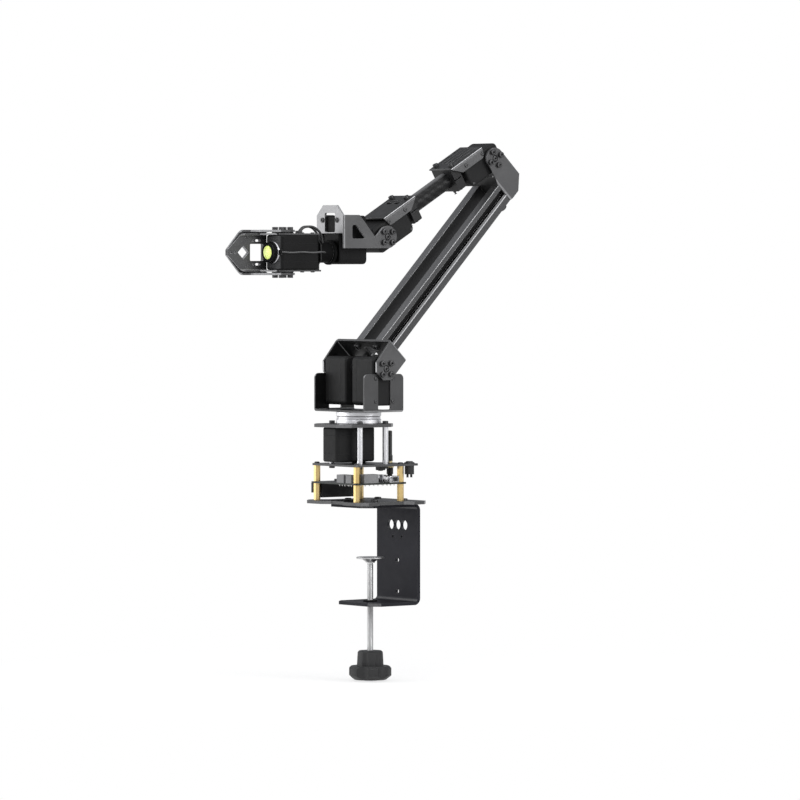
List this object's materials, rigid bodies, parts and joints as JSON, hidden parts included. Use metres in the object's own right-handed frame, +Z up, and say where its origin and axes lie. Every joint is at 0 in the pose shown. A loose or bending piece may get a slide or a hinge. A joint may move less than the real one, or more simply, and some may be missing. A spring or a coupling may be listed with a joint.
{
  "type": "desk-clamped servo arm",
  "caption": "Black desk-clamped jointed arm with bus servos, slotted-rail upper arm, carbon-tube forearm, rolling wrist, lamp and one-sided two-jaw gripper.",
  "frame": {"origin": "on the base's turning axis at the table top, the underside of the clamp's upper flange", "axes": "+X forward, the way the arm reaches; +Y to the arm's left; +Z up along the turning axis"},
  "size_m": [0.3171, 0.092, 0.5012],
  "materials": {
    "black_sheet": "black powder-coated sheet",
    "servo_case": "fine-grained black moulded case",
    "black_alloy": "black anodised, turned or milled",
    "rail_alloy": "dark anodised extrusion, bright along its edges",
    "black_screw": "black oxide",
    "bright_steel": "zinc plated",
    "bearing_steel": "ground and polished",
    "cage_metal": "pressed and tumbled",
    "post_alloy": "bright turned",
    "standoff_brass": "plain drawn hexagon",
    "knob_plastic": "moulded",
    "board_laminate": "dark solder mask",
    "black_moulding": "moulded",
    "grey_moulding": "moulded",
    "carbon": "wrapped carbon weave under clear resin",
    "ferrule_metal": "plated",
    "button_cap": "moulded",
    "antenna_rubber": "moulded sleeve",
    "lamp_lens": "translucent yellow-green",
    "cord_rubber": "soft sheath"
  },
  "bodies": {
    "base": {"clamp_bracket": "black_sheet", "clamp_nut": "bright_steel", "base_plate": "black_sheet", "lower_standoffs": "standoff_brass", "driver_board": "board_laminate", "board_socket": "black_moulding", "board_connectors": "grey_moulding", "board_chips": "black_moulding", "upper_standoffs": "standoff_brass", "mid_plate": "black_sheet", "power_button_body": "black_moulding", "antenna_socket": "ferrule_metal", "antenna": "antenna_rubber", "support_posts": "post_alloy", "base_servo": "servo_case", "top_plate": "black_sheet", "bearing_lower_race": "bearing_steel", "bearing_cage": "cage_metal", "bearing_balls": "bearing_steel"},
    "power_button": {"power_button_cap": "button_cap"},
    "clamp_foot": {"clamp_pad": "bright_steel"},
    "clamp_handle": {"clamp_screw": "bright_steel", "clamp_knob": "knob_plastic"},
    "turret": {"bearing_upper_race": "bearing_steel", "yaw_horn": "black_alloy", "yoke": "black_sheet", "left_shoulder_servo": "servo_case", "right_shoulder_servo": "servo_case"},
    "upper_arm": {"shoulder_horns": "black_alloy", "shoulder_bracket": "black_sheet", "shoulder_screws": "black_screw", "left_rail": "rail_alloy", "right_rail": "rail_alloy", "rail_bolts": "black_screw", "elbow_bracket": "black_sheet", "elbow_horns": "black_alloy", "elbow_screws": "black_screw"},
    "forearm": {"elbow_servo": "servo_case", "elbow_cover": "black_sheet", "rear_tube_clamp": "black_alloy", "carbon_tube": "carbon", "front_tube_clamp": "black_alloy", "pinch_bolts": "black_screw", "wrist_servo": "servo_case", "wrist_cover": "black_sheet"},
    "wrist": {"wrist_horns": "black_alloy", "wrist_bracket": "black_sheet", "wrist_screws": "black_screw", "roll_servo": "servo_case"},
    "hand": {"roll_hub": "black_alloy", "hand_frame": "black_sheet", "gripper_servo": "servo_case", "lamp_housing": "black_alloy", "lamp_lens": "lamp_lens", "servo_cables": "cord_rubber", "lamp_lead": "cord_rubber"},
    "jaw": {"jaw_horns": "black_alloy", "moving_jaw": "black_sheet", "jaw_screws": "black_screw"}
  },
  "joints": [
    {"name": "base_turn", "type": "hinge", "parent": "base", "child": "turret", "pos_m": [0, 0, 0.0778], "axis": [0, 0, 1], "range_deg": [-180, 180]},
    {"name": "shoulder_pitch", "type": "hinge", "parent": "turret", "child": "upper_arm", "pos_m": [-0.0006, 0, 0.1292], "axis": [0, 1, 0], "range_deg": [-35, 110]},
    {"name": "elbow_pitch", "type": "hinge", "parent": "upper_arm", "child": "forearm", "pos_m": [-0.14668, 0, 0.32524], "axis": [0, -1, 0], "range_deg": [-12, 163]},
    {"name": "wrist_pitch", "type": "hinge", "parent": "forearm", "child": "wrist", "pos_m": [-0.01834, 0, 0.25114], "axis": [0, 1, 0], "range_deg": [-60, 50]},
    {"name": "wrist_roll", "type": "hinge", "parent": "wrist", "child": "hand", "pos_m": [0.04, 0, 0.23684], "axis": [1, 0, 0], "range_deg": [-180, 180]},
    {"name": "jaw_swing", "type": "hinge", "parent": "hand", "child": "jaw", "pos_m": [0.08816, 0, 0.23684], "axis": [0, 0, 1], "range_deg": [-70, 0]},
    {"name": "button_press", "type": "slide", "parent": "base", "child": "power_button", "axis": [0, 0, 1], "range_m": [-0.0012, 0], "stiffness_N_per_m": 200},
    {"name": "clamp_travel", "type": "slide", "parent": "base", "child": "clamp_foot", "axis": [0, 0, 1], "range_m": [-0.028, 0.04]},
    {"name": "clamp_turn", "type": "hinge", "parent": "clamp_foot", "child": "clamp_handle", "pos_m": [-0.0136, 0, -0.0524], "axis": [0, 0, 1], "range_deg": [-10081, 14401]}
  ],
  "couplings": [
    {"joint": "clamp_turn", "follows": "clamp_travel", "rad_per_m": 6283.2}
  ]
}
